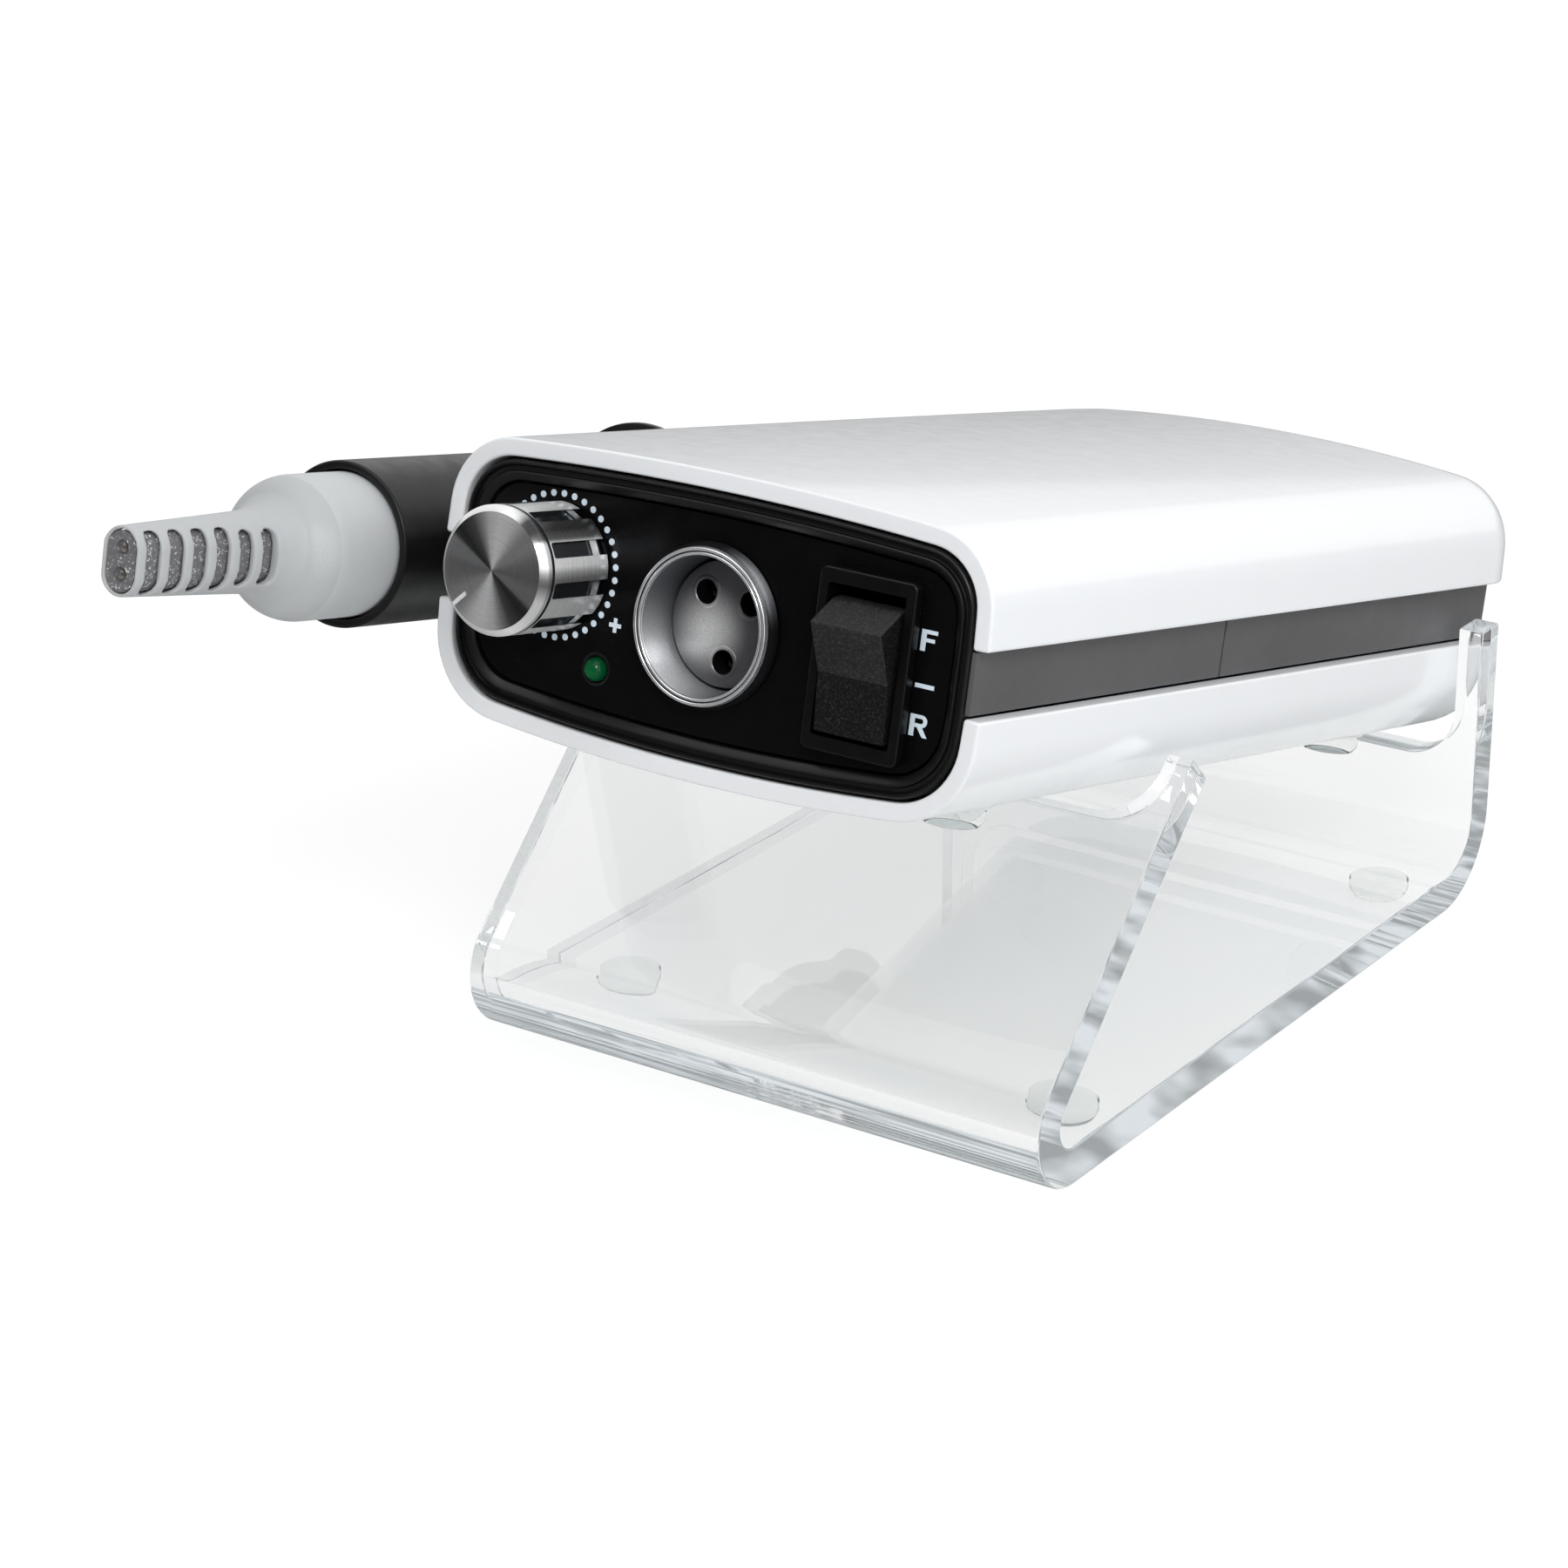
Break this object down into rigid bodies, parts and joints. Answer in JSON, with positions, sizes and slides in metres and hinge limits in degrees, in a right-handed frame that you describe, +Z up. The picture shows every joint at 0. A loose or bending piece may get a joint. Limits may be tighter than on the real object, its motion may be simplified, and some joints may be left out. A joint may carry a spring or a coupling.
{
  "type": "electric nail drill",
  "caption": "Portable nail drill: control box with speed knob, socket and rocker on a bent clear stand, with its motor handpiece parked in a side cradle.",
  "frame": {"origin": "under the middle of the product's bounding box, on the surface that the stand's four feet rest on", "axes": "+X to the right as seen from the front panel, +Y from the front panel towards the rear, +Z up"},
  "size_m": [0.105, 0.1874, 0.0863],
  "materials": {
    "clear_acrylic": "clear, polished, cast acrylic sheet with bright edges",
    "clear_rubber": "clear soft bumper",
    "white_gloss": "gloss white moulding",
    "grey_satin": "satin dark grey moulding",
    "black_satin": "satin black moulding",
    "black_gloss": "high gloss black panel",
    "bright_aluminium": "bright turned aluminium with a spun face",
    "satin_silver": "satin bead-blasted silver",
    "brass_contact": "brass",
    "green_lens": "clear dark green lens",
    "charcoal_texture": "fine textured charcoal moulding",
    "steel": "plain steel",
    "board_green": "green fibreglass board",
    "cell_wrap": "blue shrink wrap",
    "black_matte": "satin black hand grip finish",
    "grey_rubber": "matt light grey elastomer",
    "dark_core": "dark grey cord sheath"
  },
  "bodies": {
    "stand": {"acrylic_stand": "clear_acrylic", "stand_foot_1": "clear_rubber", "stand_foot_2": "clear_rubber", "stand_foot_3": "clear_rubber", "stand_foot_4": "clear_rubber"},
    "control_box": {"upper_shell": "white_gloss", "lower_shell": "white_gloss", "mid_frame": "grey_satin", "rail_cover_right": "grey_satin", "rail_cover_left": "grey_satin", "front_frame": "black_satin", "front_panel": "black_gloss", "status_led": "green_lens", "led_holder": "black_satin", "socket_shell": "satin_silver", "socket_insert": "satin_silver", "socket_contact_1": "brass_contact", "socket_contact_2": "brass_contact", "socket_contact_3": "brass_contact", "switch_housing": "black_satin", "pot_body": "steel", "pot_nut": "steel", "main_board": "board_green", "driver_heatsink": "satin_silver", "drive_capacitor": "charcoal_texture", "battery_holder": "black_matte", "battery_cell_1": "cell_wrap", "battery_cell_2": "cell_wrap", "battery_cell_3": "cell_wrap", "power_jack": "black_satin", "case_screw_1": "steel", "box_foot_1": "clear_rubber", "case_screw_2": "steel", "box_foot_2": "clear_rubber", "case_screw_3": "steel", "box_foot_3": "clear_rubber", "case_screw_4": "steel", "box_foot_4": "clear_rubber", "handpiece_cradle": "black_matte"},
    "speed_dial": {"speed_knob": "bright_aluminium", "knob_sleeve": "black_matte", "pot_shaft": "steel"},
    "rocker": {"switch_rocker": "charcoal_texture"},
    "handpiece": {"handpiece_housing": "black_matte", "strain_relief": "grey_rubber", "cord_core": "dark_core", "motor_can": "steel", "rear_bearing": "steel", "front_bearing": "steel", "nose_cone": "black_matte"},
    "lock_ring": {"twist_ring": "black_matte"},
    "spindle": {"motor_rotor": "steel", "spindle_shaft": "steel", "collet_chuck": "steel"}
  },
  "joints": [
    {"name": "box_lift", "type": "slide", "parent": "stand", "child": "control_box", "axis": [0, 0, 1], "range_m": [0, 0.06]},
    {"name": "speed_dial_turn", "type": "hinge", "parent": "control_box", "child": "speed_dial", "pos_m": [-0.01172, -0.04954, 0.07165], "axis": [0, 0.9757, -0.2192], "range_deg": [0, 270]},
    {"name": "direction_rocker", "type": "hinge", "parent": "control_box", "child": "rocker", "pos_m": [0.03252, -0.04646, 0.06758], "axis": [-1, 0, 0], "range_deg": [0, 30.3]},
    {"name": "handpiece_pull", "type": "slide", "parent": "control_box", "child": "handpiece", "axis": [0, -0.9757, 0.2192], "range_m": [0, 0.12]},
    {"name": "chuck_lock_turn", "type": "hinge", "parent": "handpiece", "child": "lock_ring", "pos_m": [-0.03952, 0.03972, 0.04927], "axis": [0, 0.9757, -0.2192], "range_deg": [0, 35]},
    {"name": "spindle_spin", "type": "hinge", "parent": "handpiece", "child": "spindle", "pos_m": [-0.03952, 0.0085, 0.05628], "axis": [0, 0.9757, -0.2192], "continuous": true}
  ]
}
